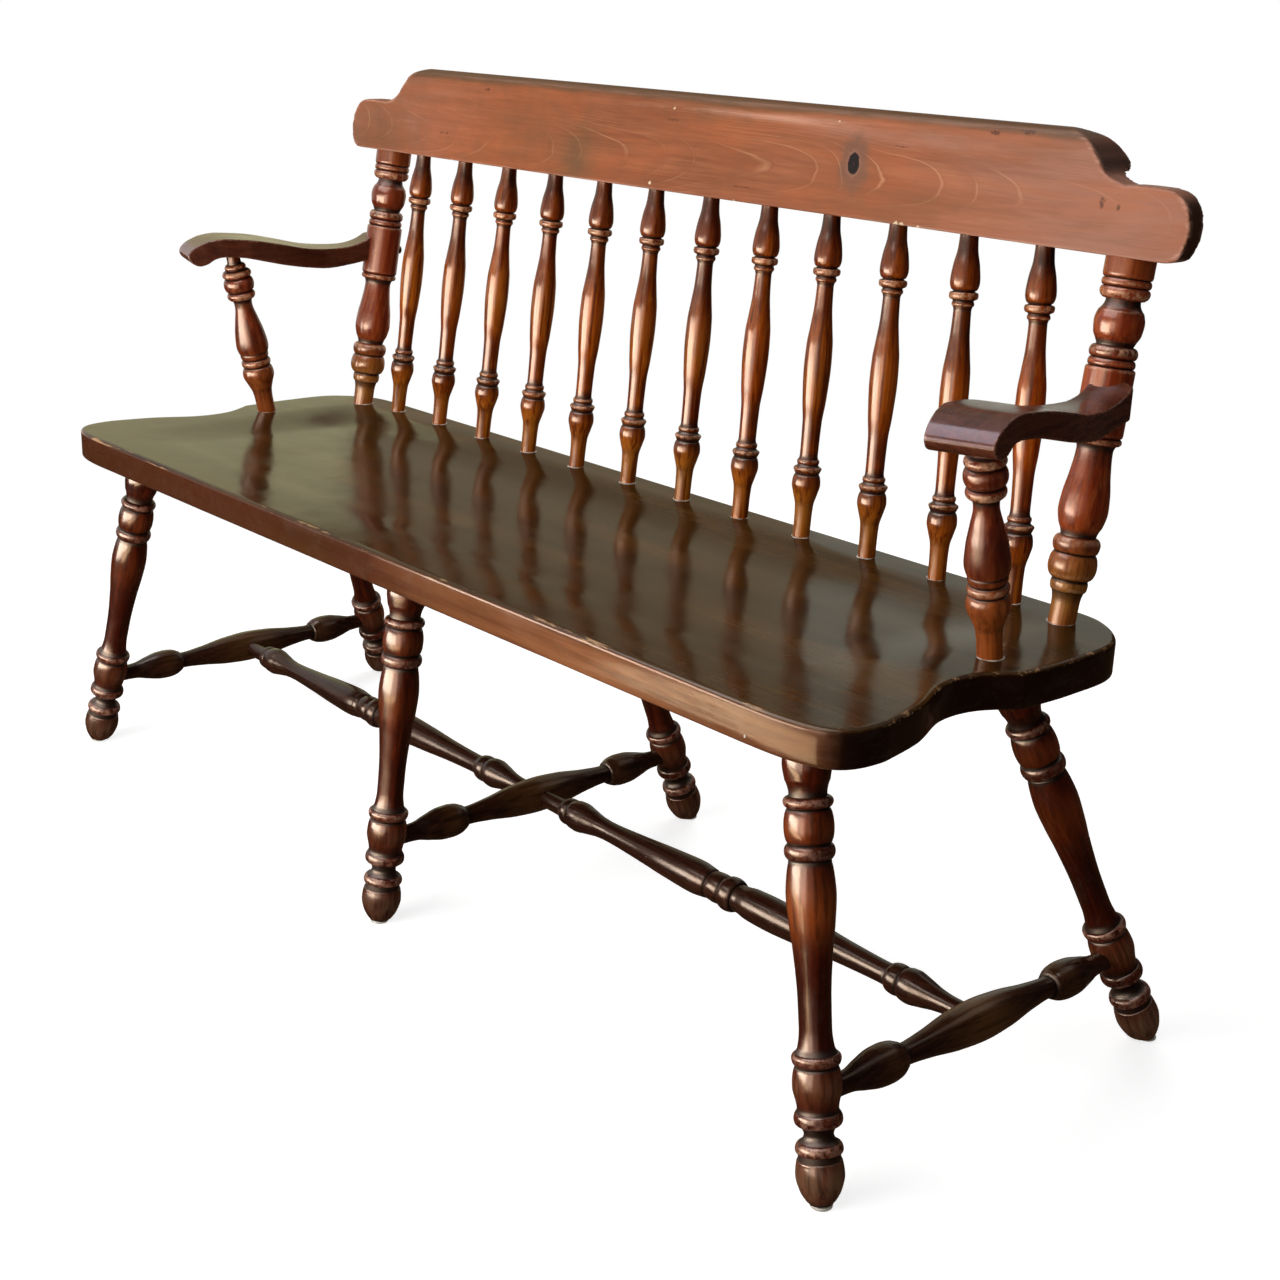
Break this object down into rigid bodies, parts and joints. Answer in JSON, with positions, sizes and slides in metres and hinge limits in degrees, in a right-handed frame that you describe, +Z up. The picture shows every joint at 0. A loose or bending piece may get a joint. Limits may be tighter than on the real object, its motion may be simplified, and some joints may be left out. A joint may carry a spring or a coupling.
{
  "type": "deacons bench",
  "caption": "Long wooden deacons bench with a plank seat, a turned spindle back under a shaped crest rail, scrolled arms, and splayed turned legs joined by turned stretchers.",
  "frame": {"origin": "middle of the bench at floor level: the bottom centre of its bounding box", "axes": "+X along the seat to the sitter's left, which is the right end seen from the front; +Y to the back; +Z up"},
  "size_m": [1.377, 0.4944, 0.8701],
  "materials": {
    "seat": "gloss lacquer",
    "crest": "satin lacquer",
    "spindle": "gloss lacquer",
    "post": "gloss lacquer",
    "arm": "gloss lacquer",
    "leg": "gloss lacquer",
    "stretcher": "satin lacquer",
    "screw": "darkened steel",
    "glide": "worn plastic"
  },
  "bodies": {
    "root": {"seat": "seat", "crest_rail": "crest", "spindle_01": "spindle", "spindle_02": "spindle", "spindle_03": "spindle", "spindle_04": "spindle", "spindle_05": "spindle", "spindle_06": "spindle", "spindle_07": "spindle", "spindle_08": "spindle", "spindle_09": "spindle", "spindle_10": "spindle", "spindle_11": "spindle", "spindle_12": "spindle", "post_left": "post", "post_right": "post", "arm_left": "arm", "arm_right": "arm", "arm_post_left": "post", "arm_post_right": "post", "arm_screw_left": "screw", "arm_screw_right": "screw", "leg_front_left": "leg", "leg_front_middle": "leg", "leg_front_right": "leg", "leg_back_left": "leg", "leg_back_middle": "leg", "leg_back_right": "leg", "glide_front_left": "glide", "glide_front_middle": "glide", "glide_front_right": "glide", "glide_back_left": "glide", "glide_back_middle": "glide", "glide_back_right": "glide", "cross_stretcher_left": "stretcher", "cross_stretcher_middle": "stretcher", "cross_stretcher_right": "stretcher", "medial_stretcher_left": "stretcher", "medial_stretcher_right": "stretcher"}
  },
  "joints": []
}
